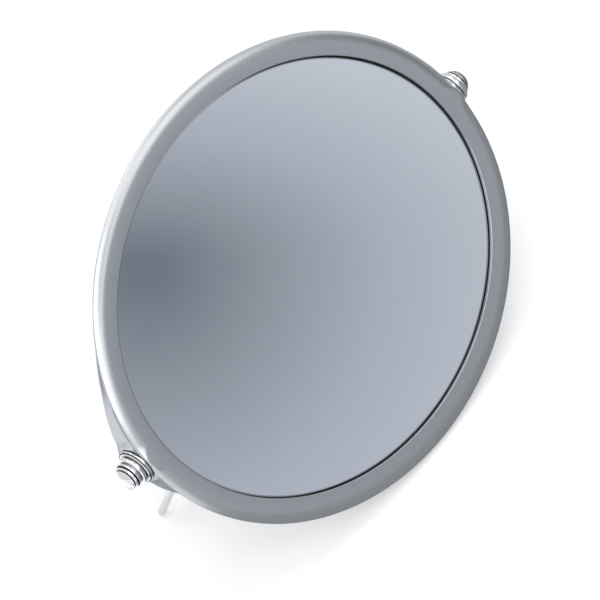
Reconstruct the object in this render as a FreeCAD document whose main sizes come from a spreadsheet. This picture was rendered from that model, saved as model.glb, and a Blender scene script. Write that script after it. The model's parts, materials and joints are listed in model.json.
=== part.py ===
import FreeCAD
import Part
import Sketcher

import math
import os

# Portable mirror: an oval two-shell head with a recessed glass, two turned
# pivot knobs on its long axis and a folding wire stand behind it.
# The head is drawn flat (x along the pivots, z out of the glass, z = 0 at the
# seam between the shells) and then leaned back; the stand is drawn the same way.
# The origin is on the table, in the middle of the pad that the head stands on.

sizeTable = {
    "openLong": 192.0,      # opening in the bezel, along the pivots
    "openWide": 160.0,      # opening in the bezel, across the pivots
    "bezelHigh": 9.5,      # seam to front face
    "faceBand": 5.5,        # flat band round the opening
    "faceFall": 0.2,        # how far the band falls outward
    "shoulderWide": 4.8,    # band to widest line
    "shoulderDrop": 1.8,    # front face to widest line
    "shoulderRound": 4.5,   # radius of the shoulder
    "lipBevel": 0.4,        # small bevel at the opening
    "sideDraft": 4.5,       # side leans in toward the seam
    "seamBevel": 0.6,       # groove at the seam
    "wall": 2.4,            # shell wall
    "ledgeWide": 13.0,       # ledge that carries the glass
    "ledgeThick": 1.8,
    "recess": 1.8,          # glass below the front face
    "glassThick": 2.2,
    "glassGap": 0.3,        # glass to bezel, all round
    "tapeThick": 0.6,
    "tapeInset": 0.8,
    "tapeWide": 9.0,
    "backingThick": 1.0,
    "backingGap": 0.6,      # backing to ledge, all round
    "shellDeep": 8.0,      # seam to back face
    "tailAlong": 1.4,       # back face stands in from the seam, along the pivots
    "tailAcross": 13.1,     # and across them
    "floorThick": 2.0,
    "seamStep": 0.2,        # rear shell stands back at the seam
    "tongueHigh": 2.0,      # rim of the rear shell inside the bezel
    "tongueThick": 1.6,
    "tongueGap": 0.4,
    "tongueRoot": 1.0,      # how far the rim goes down into the shell wall
    "tongueHold": 0.6,      # shell wall stands in under the rim
    "postWide": 6.4,        # screw posts
    "postInset": 12.0,
    "screwWide": 3.0,
    "screwLong": 8.4,
    "screwHeadWide": 5.4,
    "screwHeadHigh": 2.0,
    "screwSunk": 0.6,
    "screwPlay": 0.2,
    "screwSlotLong": 3.4,
    "screwSlotWide": 0.9,
    "screwSlotDeep": 0.8,
    "bossWide": 15.4,       # half bosses that hold the pivot studs
    "bossLong": 9.0,
    "lugReach": 9.6,        # frame swells into a lug behind each pivot, beyond the opening
    "lugPull": 18.0,        # lug's oval stands in across the pivots
    "lugHigh": 6.0,         # in front of the seam
    "lugDeep": 6.5,         # behind the seam
    "seatPlay": 0.3,        # flange seat cut into the shells
    "partingGap": 0.1,      # between the two shells' bosses and posts
    "bossReach": 10.0,       # boss face beyond the opening
    "studWide": 4.0,
    "studPlay": 0.04,
    "eyePlay": 0.03,        # wire eye on the stud, beyond the stud's own play
    "studBreak": 0.5,       # broken edges of the stud and the knob
    "studInside": 8.6,      # stud inside the boss face
    "studOutside": 7.6,     # stud outside the boss face
    "collarSide": 7.0,      # square collar that stops the stud turning
    "collarLong": 2.4,
    "collarSetback": 4.8,
    "collarPlay": 0.1,
    "flangeWide": 16.4,
    "flangeThick": 2.0,
    "flangeBevel": 0.5,
    "washerWide": 10.4,
    "washerThick": 0.4,
    "springWide": 10.0,
    "springThick": 0.4,
    "stackGap": 0.05,       # running gap between turning faces
    "knobWide": 11.8,
    "knobHigh": 5.4,
    "knobRim": 1.2,         # straight rim of the knob
    "knobGroove": 0.5,      # groove above the rim
    "knobGrooveDeep": 0.6,
    "knobStep": 0.4,        # dome is smaller than the rim
    "knobBore": 3.2,        # depth of the knob's blind hole
    "wireWide": 3.2,
    "eyeWide": 14.4,        # flattened eye of the wire
    "eyeThick": 2.0,
    "eyeSet": 0.15,         # wire stands back from the eye's inner face
    "wireStart": 6.3,       # round wire begins this far from the pivot line
    "elbowDrop": 15.0,      # pivot to elbow along the stand
    "elbowRound": 9.0,
    "kneeDrop": 44.0,       # pivot to knee along the stand
    "kneeReach": 58.0,      # knee from the middle
    "kneeRound": 12.0,
    "footReach": 76.0,      # leg tip from the middle
    "barDrop": 70.0,        # pivot to cross bar along the stand
    "barOver": 4.0,         # cross bar beyond the legs
    "weldSink": 0.15,
    "padLong": 24.0,        # rubber pad under the head
    "padStand": 1.2,        # middle of the pad's flat foot beyond the rear shell
    "padDeep": 8.0,         # pad above its foot
    "padTop": 1.5,          # below the seam
    "padLow": 4.5,          # below the seam
    "padPlay": 0.1,
    "bumperWide": 8.0,      # bumpers where the folded stand lands
    "bumperHigh": 2.4,
    "bumperX": 86.0,
    "bumperY": 27.0,
    "lean": 26.0,           # head leans back, degrees
    "standOpen": 56.0,      # stand from the head, degrees
}
screwAngles = (30, 90, 150, 210, 270, 330)
# rear shell: share of depth, share of taper along the pivots, share of taper across them
outerSteps = ((0, 0, 0), (0.42, -0.14, 0.5), (0.8, 0.1, 0.81), (1, 1, 1))
innerSteps = ((0, 0, 0), (0.42, 0.1, 0.5), (0.8, 0.4, 0.81), (1, 1, 1))
past = 1.0                  # how far a cutter runs past the face it opens


class Size:
    # a number together with the expression that yields it

    def __init__(self, value, text):
        self.value = value
        self.text = text

    def join(self, other, sign, value):
        other = asSize(other)
        return Size(value(self.value, other.value), "(%s %s %s)" % (self.text, sign, other.text))

    def __add__(self, other):
        return self.join(other, "+", lambda a, b: a + b)

    def __sub__(self, other):
        return self.join(other, "-", lambda a, b: a - b)

    def __mul__(self, other):
        return self.join(other, "*", lambda a, b: a * b)

    def __truediv__(self, other):
        return self.join(other, "/", lambda a, b: a / b)

    def __neg__(self):
        return Size(-self.value, "(0 - %s)" % self.text)


def asSize(value):
    return value if isinstance(value, Size) else Size(float(value), repr(float(value)))


def cosine(angle):
    return Size(math.cos(math.radians(angle.value)), "cos(%s * 1 deg)" % angle.text)


def sine(angle):
    return Size(math.sin(math.radians(angle.value)), "sin(%s * 1 deg)" % angle.text)


def arcSine(share):
    return Size(math.degrees(math.asin(share.value)), "asin(%s)" % share.text)


doc = FreeCAD.newDocument("portable_mirror")
sheet = doc.addObject("Spreadsheet::Sheet", "sizes")
s = {}
for row, (alias, number) in enumerate(sizeTable.items(), start=1):
    sheet.set("A%d" % row, alias)
    sheet.set("B%d" % row, str(number))
    sheet.setAlias("B%d" % row, alias)
    s[alias] = Size(number, "sizes.%s" % alias)
doc.recompute()

halfLong = s["openLong"] / 2
halfWide = s["openWide"] / 2
widest = s["faceBand"] + s["shoulderWide"]
seamEdge = widest - s["sideDraft"]
cavityEdge = seamEdge - s["wall"]
glassTop = s["bezelHigh"] - s["recess"]
glassLow = glassTop - s["glassThick"]
ledgeTop = glassLow - s["tapeThick"]
ledgeLow = ledgeTop - s["ledgeThick"]
bossFace = halfLong + s["bossReach"]
washerFace = bossFace + s["flangeThick"]
eyeFace = washerFace + s["washerThick"] + s["stackGap"]
springFace = eyeFace + s["eyeThick"] + s["stackGap"]
knobFace = springFace + s["springThick"] + s["stackGap"]
wireMiddle = eyeFace + s["eyeSet"] + s["wireWide"] / 2
footDrop = halfWide + seamEdge + s["padStand"]
footBack = (s["padTop"] + s["padLow"]) / 2
axisHigh = footDrop * cosine(s["lean"]) + footBack * sine(s["lean"])
axisBack = footDrop * sine(s["lean"]) - footBack * cosine(s["lean"])
legLong = (axisHigh - s["wireWide"] / 2) / cosine(s["standOpen"] - s["lean"])
headTurn = asSize(90) - s["lean"]
standTurn = headTurn + s["standOpen"]
alongX = FreeCAD.Rotation(FreeCAD.Vector(0, 1, 0), 90)
nodes = {}


# helpers

def bind(obj, **values):
    for name, size in values.items():
        obj.setExpression(name.replace("_", "."), asSize(size).text)
    return obj


def vec(x, y, z=0.0):
    return FreeCAD.Vector(asSize(x).value, asSize(y).value, asSize(z).value)


def moveTo(obj, x=0, y=0, z=0, rotation=None):
    obj.Placement = FreeCAD.Placement(vec(x, y, z), rotation or FreeCAD.Rotation())
    return bind(obj, Placement_Base_x=x, Placement_Base_y=y, Placement_Base_z=z)


def newSketch(body, plane, name):
    sketch = body.newObject("Sketcher::SketchObject", name)
    origin = [o for o in body.Origin.OriginFeatures if o.Role == plane][0]
    sketch.AttachmentSupport = (origin, [""])
    sketch.MapMode = "FlatFace"
    return sketch


def fixPoint(sketch, geo, pos, x, y):
    for kind, size in (("DistanceX", x), ("DistanceY", y)):
        size = asSize(size)
        if size.value == 0.0:
            onAxis = -2 if kind == "DistanceX" else -1
            sketch.addConstraint(Sketcher.Constraint("PointOnObject", geo, pos, onAxis))
            continue
        low = (geo, pos, -1, 1) if size.value < 0 else (-1, 1, geo, pos)
        index = sketch.addConstraint(Sketcher.Constraint(kind, *low, abs(size.value)))
        sketch.setExpression("Constraints[%d]" % index, (-size if size.value < 0 else size).text)


def shortArc(a, b, centre):
    # the shorter arc between two points, and which of its ends (1 or 2) is a
    turnA = math.atan2(a.y - centre.y, a.x - centre.x)
    turnB = math.atan2(b.y - centre.y, b.x - centre.x)
    circle = Part.Circle(centre, FreeCAD.Vector(0, 0, 1), a.distanceToPoint(centre))
    sweepAB = (turnB - turnA) % (2 * math.pi)
    if sweepAB < math.pi:
        return Part.ArcOfCircle(circle, turnA, turnA + sweepAB), 1
    return Part.ArcOfCircle(circle, turnB, turnB + 2 * math.pi - sweepAB), 2


def outline(sketch, points, rounds=None):
    # closed outline; rounds gives the radius of each outline piece that is an outward arc
    rounds = rounds or {}
    heads = {}
    count = len(points)
    for i, start in enumerate(points):
        a = vec(*start)
        b = vec(*points[(i + 1) % count])
        if i in rounds:
            half = (b - a) * 0.5
            across = FreeCAD.Vector(-half.y, half.x, 0).normalize()
            rise = math.sqrt(rounds[i].value ** 2 - half.Length ** 2)
            arc, heads[i] = shortArc(a, b, a + half - across * rise)
            sketch.addGeometry(arc, False)
        else:
            sketch.addGeometry(Part.LineSegment(a, b), False)
    for i, start in enumerate(points):
        before = (i - 1) % count
        head = heads.get(i, 1)
        tail = 3 - heads.get(before, 1)
        sketch.addConstraint(Sketcher.Constraint("Coincident", before, tail, i, head))
        fixPoint(sketch, i, head, *start)
    for i, radius in rounds.items():
        index = sketch.addConstraint(Sketcher.Constraint("Radius", i, radius.value))
        sketch.setExpression("Constraints[%d]" % index, radius.text)


def turned(name, points, rounds=None):
    body = doc.addObject("PartDesign::Body", name)
    profile = newSketch(body, "XY_Plane", name + "Profile")
    outline(profile, points, rounds)
    spin = body.newObject("PartDesign::Revolution", name + "Turn")
    spin.Profile = profile
    spin.ReferenceAxis = (profile, ["H_Axis"])
    spin.Angle = 360
    body.Tip = spin
    profile.Visibility = False
    return body


def oval(name, along, across, z):
    edge = doc.addObject("Part::Ellipse", name)
    edge.MajorRadius = 1000
    bind(edge, MajorRadius=halfLong + along, MinorRadius=halfWide + across)
    return moveTo(edge, z=z)


def ovalPlate(name, grow, low, thick, across=None):
    plate = doc.addObject("Part::Extrusion", name)
    plate.Base = oval(name + "Edge", grow, across or grow, low)
    plate.DirMode = "Custom"
    plate.Dir = FreeCAD.Vector(0, 0, 1)
    plate.Solid = True
    return bind(plate, LengthFwd=thick)


def dish(name, edge, high, steps):
    # oval dish that tapers more across the pivots than along them
    loft = doc.addObject("Part::Loft", name)
    loft.Sections = [oval("%sStep%d" % (name, i), edge - s["tailAlong"] * along,
                          edge - s["tailAcross"] * across, -high * drop)
                     for i, (drop, along, across) in enumerate(steps)]
    loft.Solid = True
    loft.Ruled = True
    return loft


def cylinder(name, wide, high, x=0, y=0, z=0, rotation=None):
    rod = doc.addObject("Part::Cylinder", name)
    bind(rod, Radius=wide / 2, Height=high)
    return moveTo(rod, x, y, z, rotation)


def box(name, length, width, height, x, y, z):
    block = doc.addObject("Part::Box", name)
    bind(block, Length=length, Width=width, Height=height)
    return moveTo(block, x, y, z)


def fuse(name, shapes):
    union = doc.addObject("Part::MultiFuse", name)
    union.Shapes = shapes
    return union


def cut(name, base, tools):
    result = doc.addObject("Part::Cut", name)
    result.Base = base
    result.Tool = tools[0] if len(tools) == 1 else fuse(name + "Tools", tools)
    return result


def group(name, shapes):
    compound = doc.addObject("Part::Compound", name)
    compound.Links = shapes
    return compound


def mirrored(name, source):
    twin = doc.addObject("Part::Mirroring", name)
    twin.Source = source
    twin.Normal = FreeCAD.Vector(1, 0, 0)
    return twin


def lay(obj, angle):
    obj.Placement = FreeCAD.Placement(vec(0, axisBack, axisHigh),
                                      FreeCAD.Rotation(FreeCAD.Vector(1, 0, 0), angle.value))
    obj.setExpression("Placement.Base.y", axisBack.text)
    obj.setExpression("Placement.Base.z", axisHigh.text)
    obj.setExpression("Placement.Rotation.Angle", angle.text)
    return obj


def onHead(name, obj):
    obj.Label = name
    nodes[name] = lay(obj, headTurn)


def onStand(name, obj):
    obj.Label = name
    nodes[name] = lay(obj, standTurn)


def screwSpots():
    for angle in screwAngles:
        along = math.cos(math.radians(angle))
        across = math.sin(math.radians(angle))
        yield angle, (halfLong - s["postInset"]) * along, (halfWide - s["postInset"]) * across


def halfBoss(name, side, up):
    boss = doc.addObject("Part::Cylinder", name)
    bind(boss, Radius=s["bossWide"] / 2, Height=s["bossLong"])
    boss.Angle = 180
    turn = FreeCAD.Rotation(FreeCAD.Vector(1, 1, 1), 120)
    if not up:
        turn = FreeCAD.Rotation(FreeCAD.Vector(1, 0, 0), 180).multiply(turn)
    start = bossFace - s["bossLong"] if side > 0 else -bossFace
    return moveTo(boss, x=start, z=s["partingGap"] if up else 0, rotation=turn)


def lugs(name, low, thick, root):
    # two crescents that thicken the frame at the pivots; root is their inner edge
    swell = ovalPlate(name + "Swell", s["lugReach"], low, thick, -s["lugPull"])
    return cut(name, swell, [ovalPlate(name + "Root", root, low - past, thick + past * 2)])


def pivotTools(name):
    # bore, collar pocket and flat seat that both shells share, for both ends
    tools = []
    for side in (1, -1):
        tag = "%s%s" % (name, "Right" if side > 0 else "Left")
        bore = s["studWide"] + s["studPlay"] * 2
        seat = s["flangeWide"] + s["seatPlay"] * 2
        start = bossFace - s["bossLong"] - past if side > 0 else -bossFace
        tools.append(cylinder(tag + "Bore", bore, s["bossLong"] + past, x=start, rotation=alongX))
        square = s["collarSide"] + s["collarPlay"] * 2
        deep = s["collarLong"] + s["collarPlay"] * 2
        middle = bossFace - s["collarSetback"]
        pocketX = (middle if side > 0 else -middle) - deep / 2
        tools.append(box(tag + "Pocket", deep, square, square, pocketX, -square / 2, -square / 2))
        seatX = bossFace if side > 0 else -bossFace - seat
        tools.append(cylinder(tag + "Seat", seat, seat, x=seatX, rotation=alongX))
    return tools


# front bezel: one profile swept round the oval opening, then bosses and posts

bezelBody = doc.addObject("PartDesign::Body", "bezelRing")
spine = newSketch(bezelBody, "XY_Plane", "bezelSpine")
spine.addGeometry(Part.Ellipse(vec(halfLong, 0), vec(0, halfWide), vec(0, 0)), False)
spine.exposeInternalGeometry(0)
spine.addConstraint(Sketcher.Constraint("Coincident", 0, 3, -1, 1))
spine.addConstraint(Sketcher.Constraint("Horizontal", 1))
for line, size in ((1, s["openLong"]), (2, s["openWide"])):
    rule = spine.addConstraint(Sketcher.Constraint("Distance", line, size.value))
    spine.setExpression("Constraints[%d]" % rule, size.text)
section = newSketch(bezelBody, "XZ_Plane", "bezelSection")
outline(section, [
    (halfLong, s["bezelHigh"] - s["lipBevel"]),
    (halfLong + s["lipBevel"], s["bezelHigh"]),
    (halfLong + s["faceBand"], s["bezelHigh"] - s["faceFall"]),
    (halfLong + widest, s["bezelHigh"] - s["shoulderDrop"]),
    (halfLong + seamEdge, s["seamBevel"]),
    (halfLong + seamEdge - s["seamBevel"], 0),
    (halfLong + cavityEdge, 0),
    (halfLong + cavityEdge, ledgeLow),
    (halfLong - s["ledgeWide"], ledgeLow),
    (halfLong - s["ledgeWide"], ledgeTop),
    (halfLong, ledgeTop),
], {2: s["shoulderRound"]})
sweep = bezelBody.newObject("PartDesign::AdditivePipe", "bezelSweep")
sweep.Profile = section
sweep.Spine = (spine, ["Edge1"])
sweep.Mode = "Frenet"
bezelBody.Tip = sweep

bezelAdds = [bezelBody, halfBoss("bezelBossRight", 1, True), halfBoss("bezelBossLeft", -1, True),
             lugs("bezelLugs", s["partingGap"], s["lugHigh"], seamEdge - s["wall"] / 2)]
bezelCuts = pivotTools("bezelPivot")
for angle, x, y in screwSpots():
    bezelAdds.append(cylinder("bezelPost%d" % angle, s["postWide"], ledgeLow + s["ledgeThick"] / 2,
                              x, y, s["partingGap"]))
    bezelCuts.append(cylinder("bezelPilot%d" % angle, s["screwWide"] + s["studPlay"] * 2,
                              ledgeLow + s["screwPlay"] + past, x, y, -past))
onHead("bezel_front", cut("bezelFront", fuse("bezelSolid", bezelAdds), bezelCuts))

# rear shell: lofted dish with posts, half bosses, a locating tongue and a slot for the pad

deep = s["shellDeep"]
floorHigh = deep - s["floorThick"]
outerDish = dish("dishOuter", seamEdge - s["seamStep"], deep, outerSteps)
tongueEdge = cavityEdge - s["tongueGap"]
innerDish = dish("dishInner", tongueEdge - s["tongueHold"], floorHigh, innerSteps)
tongueLong = s["tongueHigh"] + s["tongueRoot"]
bossRoom = s["bossWide"] + s["tongueGap"] * 2
tongueRoom = [box("tongueRoom%d" % i, bossRoom, bossRoom, s["tongueHigh"] + past, x, -bossRoom / 2, 0)
              for i, x in enumerate((bossFace - bossRoom, -bossFace))]
tongue = cut("tongueRing", ovalPlate("tongueOuter", tongueEdge, -s["tongueRoot"], tongueLong),
             [ovalPlate("tongueInner", tongueEdge - s["tongueThick"], -s["tongueRoot"] - past,
                        tongueLong + past * 2)] + tongueRoom)
shellAdds = [cut("dishShell", outerDish, [innerDish]), tongue,
             halfBoss("shellBossRight", 1, False), halfBoss("shellBossLeft", -1, False),
             lugs("shellLugs", -s["lugDeep"], s["lugDeep"], seamEdge - s["wall"] / 2)]
shellCuts = pivotTools("shellPivot")
headSeat = s["screwHeadHigh"] + s["screwSunk"]
for angle, x, y in screwSpots():
    rooted = s["floorThick"] / 2
    shellAdds.append(cylinder("shellPost%d" % angle, s["postWide"], deep - rooted, x, y, -deep + rooted))
    shellCuts.append(cylinder("shellHole%d" % angle, s["screwWide"] + s["screwPlay"] * 2,
                              deep + past * 2, x, y, -deep - past))
    shellCuts.append(cylinder("shellSink%d" % angle, s["screwHeadWide"] + s["screwPlay"] * 2,
                              headSeat + past, x, y, -deep - past))
slotHigh = s["padLow"] - s["padTop"] + s["padPlay"] * 2
shellCuts.append(box("padSlot", s["padLong"] + s["padPlay"] * 2, s["padDeep"] * 2, slotHigh,
                     -s["padLong"] / 2 - s["padPlay"], -footDrop - s["padDeep"],
                     -s["padLow"] - s["padPlay"]))
onHead("shell_rear", cut("shellRear", fuse("shellSolid", shellAdds), shellCuts))

# glass, the tape that holds it and its backing

onHead("mirror_glass", ovalPlate("glassPlate", -s["glassGap"], glassLow, s["glassThick"]))
tapeEdge = -s["tapeInset"]
onHead("glass_tape", cut("glassTape",
                         ovalPlate("tapeOuter", tapeEdge, ledgeTop, s["tapeThick"]),
                         [ovalPlate("tapeInner", tapeEdge - s["tapeWide"], ledgeTop - past,
                                    s["tapeThick"] + past * 2)]))
onHead("glass_backing", ovalPlate("backingPlate", -s["ledgeWide"] - s["backingGap"],
                                  glassLow - s["backingThick"], s["backingThick"]))

# screws that join the shells from behind

screws = []
seatZ = -deep + headSeat
for angle, x, y in screwSpots():
    shank = cylinder("screwShank%d" % angle, s["screwWide"], s["screwLong"], x, y, seatZ)
    cap = cylinder("screwCap%d" % angle, s["screwHeadWide"], s["screwHeadHigh"], x, y,
                   seatZ - s["screwHeadHigh"])
    drive = box("screwDrive%d" % angle, s["screwSlotLong"], s["screwSlotWide"],
                s["screwSlotDeep"] + past, x - s["screwSlotLong"] / 2, y - s["screwSlotWide"] / 2,
                seatZ - s["screwHeadHigh"] - past)
    screws.append(cut("screw%d" % angle, fuse("screwBody%d" % angle, [shank, cap]), [drive]))
onHead("shell_screws", group("shellScrews", screws))

# pivot studs with a square collar clamped between the shells

studRadius = s["studWide"] / 2
studStart = bossFace - s["studInside"]
studEnd = bossFace + s["studOutside"]
stud = turned("studRight", [
    (studStart, 0), (studStart, studRadius - s["studBreak"]), (studStart + s["studBreak"], studRadius),
    (studEnd - s["studBreak"], studRadius), (studEnd, studRadius - s["studBreak"]), (studEnd, 0)])
square = stud.newObject("PartDesign::AdditiveBox", "studCollar")
bind(square, Length=s["collarLong"], Width=s["collarSide"], Height=s["collarSide"])
moveTo(square, bossFace - s["collarSetback"] - s["collarLong"] / 2, -s["collarSide"] / 2,
       -s["collarSide"] / 2)
stud.Tip = square
onHead("stud_right", stud)

# turned flange seats, washers and domed knobs

studBore = studRadius + s["studPlay"]
flangeRadius = s["flangeWide"] / 2
onHead("flange_right", turned("flangeRight", [
    (bossFace, studBore), (bossFace, flangeRadius),
    (washerFace - s["flangeBevel"], flangeRadius),
    (washerFace, flangeRadius - s["flangeBevel"]), (washerFace, studBore)]))
washer = turned("frictionRight", [
    (washerFace, studBore), (washerFace, s["washerWide"] / 2),
    (washerFace + s["washerThick"], s["washerWide"] / 2),
    (washerFace + s["washerThick"], studBore)])
onHead("friction_washers", group("frictionWashers", [washer, mirrored("frictionLeft", washer)]))
spring = turned("springRight", [
    (springFace, studBore), (springFace, s["springWide"] / 2),
    (springFace + s["springThick"], s["springWide"] / 2),
    (springFace + s["springThick"], studBore)])
onStand("spring_washers", group("springWashers", [spring, mirrored("springLeft", spring)]))

rim = s["knobWide"] / 2
dome = rim - s["knobStep"]
domeStart = knobFace + s["knobRim"] + s["knobGroove"]
knob = turned("knobRight", [
    (knobFace, 0), (knobFace, rim - s["studBreak"]), (knobFace + s["studBreak"], rim),
    (knobFace + s["knobRim"], rim), (knobFace + s["knobRim"], dome - s["knobGrooveDeep"]),
    (domeStart, dome - s["knobGrooveDeep"]), (domeStart, 0)])
domeHigh = s["knobHigh"] - s["knobRim"] - s["knobGroove"]
domeBall = (dome * dome + domeHigh * domeHigh) / (domeHigh * 2)
domeSunk = domeBall - domeHigh
cap = knob.newObject("PartDesign::AdditiveSphere", "knobDome")
bind(cap, Radius=domeBall, Angle1=arcSine(domeSunk / domeBall))
moveTo(cap, x=domeStart - domeSunk, rotation=alongX)
knobHole = knob.newObject("PartDesign::SubtractiveCylinder", "knobHole")
bind(knobHole, Radius=studBore, Height=s["knobBore"] + past)
moveTo(knobHole, x=knobFace - past, rotation=alongX)
knob.Tip = knobHole
onHead("knob_right", knob)

# wire legs: eye on the stud, elbow, knee and a leg that splays out to a round tip


def bentPath(sketch, corners, rounds):
    # open path through corner points with tangent bends; every corner stays a driven point
    points = [vec(*c) for c in corners]
    ends = [points[0]]
    bends = []
    for i, radius in enumerate(rounds, start=1):
        back = (points[i - 1] - points[i]).normalize()
        ahead = (points[i + 1] - points[i]).normalize()
        half = back.getAngle(ahead) / 2
        reach = radius.value / math.tan(half)
        centre = points[i] + (back + ahead).normalize() * (radius.value / math.sin(half))
        ends += [points[i] + back * reach, points[i] + ahead * reach]
        bends.append(shortArc(ends[-2], ends[-1], centre))
    ends.append(points[-1])
    sketch.addGeometry(Part.LineSegment(ends[0], ends[1]), False)
    for i, (arc, head) in enumerate(bends):
        sketch.addGeometry(arc, False)
        sketch.addGeometry(Part.LineSegment(ends[2 * i + 2], ends[2 * i + 3]), False)
    for i, radius in enumerate(rounds):
        arc = 2 * i + 1
        head = bends[i][1]
        sketch.addConstraint(Sketcher.Constraint("Tangent", arc - 1, 2, arc, head))
        sketch.addConstraint(Sketcher.Constraint("Tangent", arc, 3 - head, arc + 1, 1))
        index = sketch.addConstraint(Sketcher.Constraint("Radius", arc, radius.value))
        sketch.setExpression("Constraints[%d]" % index, radius.text)
        mark = sketch.addGeometry(Part.Point(points[i + 1]), True)
        sketch.addConstraint(Sketcher.Constraint("PointOnObject", mark, 1, arc - 1))
        sketch.addConstraint(Sketcher.Constraint("PointOnObject", mark, 1, arc + 1))
        fixPoint(sketch, mark, 1, *corners[i + 1])
    fixPoint(sketch, 0, 1, *corners[0])
    fixPoint(sketch, 2 * len(rounds), 2, *corners[-1])


leg = doc.addObject("PartDesign::Body", "legRight")
path = newSketch(leg, "XY_Plane", "legPath")
bentPath(path, [
    (wireMiddle, -s["wireStart"]), (wireMiddle, -s["elbowDrop"]),
    (s["kneeReach"], -s["kneeDrop"]), (s["footReach"], -legLong),
], [s["elbowRound"], s["kneeRound"]])
wire = newSketch(leg, "XZ_Plane", "legWire")
wire.AttachmentOffset = FreeCAD.Placement(vec(0, 0, s["wireStart"]), FreeCAD.Rotation())
wire.setExpression("AttachmentOffset.Base.z", s["wireStart"].text)
wire.addGeometry(Part.Circle(vec(wireMiddle, 0), FreeCAD.Vector(0, 0, 1), s["wireWide"].value / 2), False)
fixPoint(wire, 0, 3, wireMiddle, 0)
wireRule = wire.addConstraint(Sketcher.Constraint("Diameter", 0, s["wireWide"].value))
wire.setExpression("Constraints[%d]" % wireRule, s["wireWide"].text)
pipe = leg.newObject("PartDesign::AdditivePipe", "legPipe")
pipe.Profile = wire
pipe.Spine = (path, [])
leg.Tip = pipe
tip = leg.newObject("PartDesign::AdditiveSphere", "legTip")
bind(tip, Radius=s["wireWide"] / 2)
moveTo(tip, s["footReach"], -legLong)
eye = leg.newObject("PartDesign::AdditiveCylinder", "legEye")
bind(eye, Radius=s["eyeWide"] / 2, Height=s["eyeThick"])
moveTo(eye, x=eyeFace, rotation=alongX)
bore = leg.newObject("PartDesign::SubtractiveCylinder", "legBore")
bind(bore, Radius=studBore + s["eyePlay"], Height=s["wireWide"] + past * 2)
moveTo(bore, x=eyeFace - past, rotation=alongX)
leg.Tip = bore
onStand("leg_right", leg)

# cross bar welded behind the legs

slope = (s["footReach"] - s["kneeReach"]) / (legLong - s["kneeDrop"])
barHalf = s["kneeReach"] + slope * (s["barDrop"] - s["kneeDrop"]) + s["barOver"]
barZ = -s["wireWide"] + s["weldSink"]
barRod = cylinder("barRod", s["wireWide"], barHalf * 2, -barHalf, -s["barDrop"], barZ, alongX)
barEnds = []
for sideName, x in (("Right", barHalf), ("Left", -barHalf)):
    ball = doc.addObject("Part::Sphere", "barEnd" + sideName)
    bind(ball, Radius=s["wireWide"] / 2)
    barEnds.append(moveTo(ball, x, -s["barDrop"], barZ))
onStand("cross_bar", fuse("crossBar", [barRod] + barEnds))

# rubber: one pad under the head and four bumpers for the folded stand

padBlock = box("padBlock", s["padLong"], s["padDeep"] * 2, s["padLow"] - s["padTop"],
               -s["padLong"] / 2, -footDrop - s["padDeep"], -s["padLow"])
padLaid = lay(group("padLaid", [padBlock]), headTurn)
belowTable = box("belowTable", s["padLong"] * 2, s["padLong"] * 2, s["padDeep"] * 3,
                 -s["padLong"], -s["padLong"], -s["padDeep"] * 3)
nodes["rim_pad"] = cut("rimPad", padLaid, [belowTable])
nodes["rim_pad"].Label = "rim_pad"
bumpers = []
for i, (sx, sy) in enumerate(((1, 1), (1, -1), (-1, 1), (-1, -1))):
    bumpers.append(cylinder("bumper%d" % i, s["bumperWide"], s["bumperHigh"],
                            s["bumperX"] * sx, s["bumperY"] * sy, -deep - s["bumperHigh"]))
onHead("back_bumpers", group("backBumpers", bumpers))

doc.recompute()

# left-hand twins: the pieces lean about the pivot line, so a mirror plane at x = 0 serves

for name in ("stud", "flange", "knob", "leg"):
    twin = mirrored(name + "Left", nodes[name + "_right"])
    twin.Label = name + "_left"
    nodes[name + "_left"] = twin
doc.recompute()

# checks and export

for obj in doc.Objects:
    if "Invalid" in obj.State or "Error" in obj.State:
        raise RuntimeError("%s did not build: %s" % (obj.Label, obj.State))
os.makedirs("parts", exist_ok=True)
for name, obj in nodes.items():
    shape = obj.Shape
    if shape.isNull() or not shape.isValid() or not shape.Solids:
        raise RuntimeError("%s has no valid solid" % name)
    shape.exportStep("parts/%s.step" % name)
    b = shape.BoundBox
    print("%-17s solids %d volume %8.0f  x %.1f..%.1f y %.1f..%.1f z %.1f..%.1f" % (
        name, len(shape.Solids), shape.Volume, b.XMin, b.XMax, b.YMin, b.YMax, b.ZMin, b.ZMax))
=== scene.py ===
import json
import math

import bmesh
import bpy
from mathutils import Matrix, Vector


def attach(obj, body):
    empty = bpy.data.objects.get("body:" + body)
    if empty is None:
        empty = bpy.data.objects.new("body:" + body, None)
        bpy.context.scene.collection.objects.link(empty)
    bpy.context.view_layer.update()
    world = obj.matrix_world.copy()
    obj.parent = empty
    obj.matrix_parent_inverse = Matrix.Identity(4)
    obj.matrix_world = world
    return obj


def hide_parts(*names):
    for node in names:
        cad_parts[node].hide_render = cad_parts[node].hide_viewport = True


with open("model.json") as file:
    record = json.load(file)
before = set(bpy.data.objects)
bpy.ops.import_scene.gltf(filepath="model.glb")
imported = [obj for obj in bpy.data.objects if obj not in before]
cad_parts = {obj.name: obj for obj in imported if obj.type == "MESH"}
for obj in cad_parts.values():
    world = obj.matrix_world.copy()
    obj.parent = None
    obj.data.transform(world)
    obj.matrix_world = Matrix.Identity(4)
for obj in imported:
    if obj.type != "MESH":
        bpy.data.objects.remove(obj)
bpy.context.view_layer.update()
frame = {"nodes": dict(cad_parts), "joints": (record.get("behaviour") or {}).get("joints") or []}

mm = 0.001

# The head is drawn flat, in mm: x along the pivots, z out of the glass, z = 0 at the seam.
# The stand is drawn the same way, on the same pivot line.
pose = {"lean": 26.0, "standOpen": 56.0}
pivot = Vector([j for j in frame["joints"] if j["name"] == "stand_fold"][0]["pos_m"])


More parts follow.
